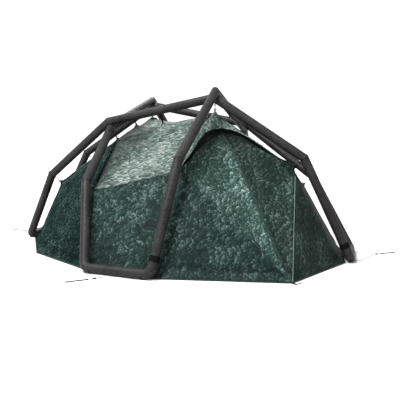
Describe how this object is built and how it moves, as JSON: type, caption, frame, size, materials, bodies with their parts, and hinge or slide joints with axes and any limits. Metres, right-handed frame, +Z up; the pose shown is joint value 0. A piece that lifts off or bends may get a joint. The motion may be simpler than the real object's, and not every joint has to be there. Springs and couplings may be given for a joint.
{
  "type": "inflatable tent",
  "caption": "Geodesic air-beam tent: crossed inflatable tubes carry a hung, faceted fly with a zipped door, hood and vent at each end, and guy lines.",
  "frame": {"origin": "on the ground under the middle of the tent", "axes": "+Z up, +Y from the front door to the back door, +X to the right when looking in from the front door"},
  "size_m": [2.7385, 3.7286, 1.297],
  "materials": {
    "sleeve": "satin woven polyester",
    "bladder": "smooth film",
    "cuff": "matt webbing",
    "plastic": "moulded",
    "fly": "coated polyester",
    "fly_roof": "coated polyester",
    "mesh": "fine mesh",
    "groundsheet": "coated polyester",
    "webbing": "matt webbing",
    "cord": "braided cord",
    "metal": "dark anodised"
  },
  "bodies": {
    "tent": {"beam_sleeve_front_left": "sleeve", "beam_sleeve_front_right": "sleeve", "beam_sleeve_back_left": "sleeve", "beam_sleeve_back_right": "sleeve", "beam_bladder_front_left": "bladder", "beam_bladder_front_right": "bladder", "beam_bladder_back_left": "bladder", "beam_bladder_back_right": "bladder", "beam_join_cuff_front_left": "cuff", "beam_join_cuff_front_right": "cuff", "beam_join_cuff_back_left": "cuff", "beam_join_cuff_back_right": "cuff", "inflation_valve_front_left": "plastic", "inflation_valve_front_right": "plastic", "inflation_valve_back_left": "plastic", "inflation_valve_back_right": "plastic", "roof_top": "fly_roof", "roof_slope_front_left": "fly_roof", "roof_slope_front_right": "fly_roof", "roof_slope_back_left": "fly_roof", "roof_slope_back_right": "fly_roof", "wall_front_left": "fly", "wall_front_right": "fly", "wall_back_left": "fly", "wall_back_right": "fly", "left_end_panel": "fly", "right_end_panel": "fly", "front_hood": "fly", "front_door_vent": "mesh", "front_tip_anchor": "webbing", "back_hood": "fly", "back_door_vent": "mesh", "back_tip_anchor": "webbing", "groundsheet": "groundsheet", "bridle_front_left": "cord", "bridle_front_right": "cord", "bridle_back_left": "cord", "bridle_back_right": "cord", "guy_line_front_left": "cord", "guy_line_front_right": "cord", "guy_line_back_left": "cord", "guy_line_back_right": "cord"},
    "front_left_flap": {"front_door_left_flap": "fly"},
    "front_right_flap": {"front_door_right_flap": "fly"},
    "front_slider": {"front_zip_slider": "metal"},
    "back_left_flap": {"back_door_left_flap": "fly"},
    "back_right_flap": {"back_door_right_flap": "fly"},
    "back_slider": {"back_zip_slider": "metal"},
    "cap_front_left": {"valve_cap_front_left": "plastic"},
    "cap_front_right": {"valve_cap_front_right": "plastic"},
    "cap_back_left": {"valve_cap_back_left": "plastic"},
    "cap_back_right": {"valve_cap_back_right": "plastic"},
    "runner_front_left": {"line_runner_front_left": "plastic"},
    "loose_peg_front_left": {"peg_front_left": "metal"},
    "runner_front_right": {"line_runner_front_right": "plastic"},
    "loose_peg_front_right": {"peg_front_right": "metal"},
    "runner_back_left": {"line_runner_back_left": "plastic"},
    "loose_peg_back_left": {"peg_back_left": "metal"},
    "runner_back_right": {"line_runner_back_right": "plastic"},
    "loose_peg_back_right": {"peg_back_right": "metal"}
  },
  "joints": [
    {"name": "front_left_flap_hinge", "type": "hinge", "parent": "tent", "child": "front_left_flap", "pos_m": [-0.461, -1.097, 0.705], "axis": [0.416, -0.6497, -0.6362], "range_deg": [0, 78]},
    {"name": "front_right_flap_hinge", "type": "hinge", "parent": "tent", "child": "front_right_flap", "pos_m": [0.461, -1.097, 0.705], "axis": [0.416, 0.6497, 0.6362], "range_deg": [0, 78]},
    {"name": "front_zip_slide", "type": "slide", "parent": "front_left_flap", "child": "front_slider", "axis": [0, 0.7047, 0.7096], "range_m": [0, 0.98]},
    {"name": "back_left_flap_hinge", "type": "hinge", "parent": "tent", "child": "back_left_flap", "pos_m": [-0.461, 1.097, 0.705], "axis": [-0.416, -0.6497, 0.6362], "range_deg": [0, 78]},
    {"name": "back_right_flap_hinge", "type": "hinge", "parent": "tent", "child": "back_right_flap", "pos_m": [0.461, 1.097, 0.705], "axis": [-0.416, 0.6497, -0.6362], "range_deg": [0, 78]},
    {"name": "back_zip_slide", "type": "slide", "parent": "back_left_flap", "child": "back_slider", "axis": [0, -0.7047, 0.7096], "range_m": [0, 0.98]},
    {"name": "cap_hinge_front_left", "type": "hinge", "parent": "tent", "child": "cap_front_left", "pos_m": [-0.91224, -1.13976, 0.05843], "axis": [0.5682, 0.4209, -0.7071], "range_deg": [0, 120]},
    {"name": "cap_hinge_front_right", "type": "hinge", "parent": "tent", "child": "cap_front_right", "pos_m": [0.91224, -1.13976, 0.05843], "axis": [0.5682, -0.4209, 0.7071], "range_deg": [0, 120]},
    {"name": "cap_hinge_back_left", "type": "hinge", "parent": "tent", "child": "cap_back_left", "pos_m": [-0.91224, 1.13976, 0.05843], "axis": [-0.5682, 0.4209, 0.7071], "range_deg": [0, 120]},
    {"name": "cap_hinge_back_right", "type": "hinge", "parent": "tent", "child": "cap_back_right", "pos_m": [0.91224, 1.13976, 0.05843], "axis": [-0.5682, -0.4209, -0.7071], "range_deg": [0, 120]},
    {"name": "runner_slide_front_left", "type": "slide", "parent": "tent", "child": "runner_front_left", "axis": [-0.9835, -0.1807, 0], "range_m": [-0.01, 0.01]},
    {"name": "peg_swivel_front_left", "type": "hinge", "parent": "tent", "child": "loose_peg_front_left", "pos_m": [-1.15, -1.19, 0.0032], "axis": [0, 0, 1], "range_deg": [-30, 30]},
    {"name": "runner_slide_front_right", "type": "slide", "parent": "tent", "child": "runner_front_right", "axis": [0.9941, 0.1081, 0], "range_m": [-0.01, 0.01]},
    {"name": "peg_swivel_front_right", "type": "hinge", "parent": "tent", "child": "loose_peg_front_right", "pos_m": [1.262, -1.115, 0.0032], "axis": [0, 0, 1], "range_deg": [-30, 30]},
    {"name": "runner_slide_back_left", "type": "slide", "parent": "tent", "child": "runner_back_left", "axis": [-0.4856, 0.8742, 0], "range_m": [-0.01, 0.01]},
    {"name": "peg_swivel_back_left", "type": "hinge", "parent": "tent", "child": "loose_peg_back_left", "pos_m": [-1.09, 1.42, 0.0032], "axis": [0, 0, 1], "range_deg": [-30, 30]},
    {"name": "runner_slide_back_right", "type": "slide", "parent": "tent", "child": "runner_back_right", "axis": [0.8779, 0.4789, 0], "range_m": [-0.01, 0.01]},
    {"name": "peg_swivel_back_right", "type": "hinge", "parent": "tent", "child": "loose_peg_back_right", "pos_m": [1.14, 1.22, 0.0032], "axis": [0, 0, 1], "range_deg": [-30, 30]}
  ]
}
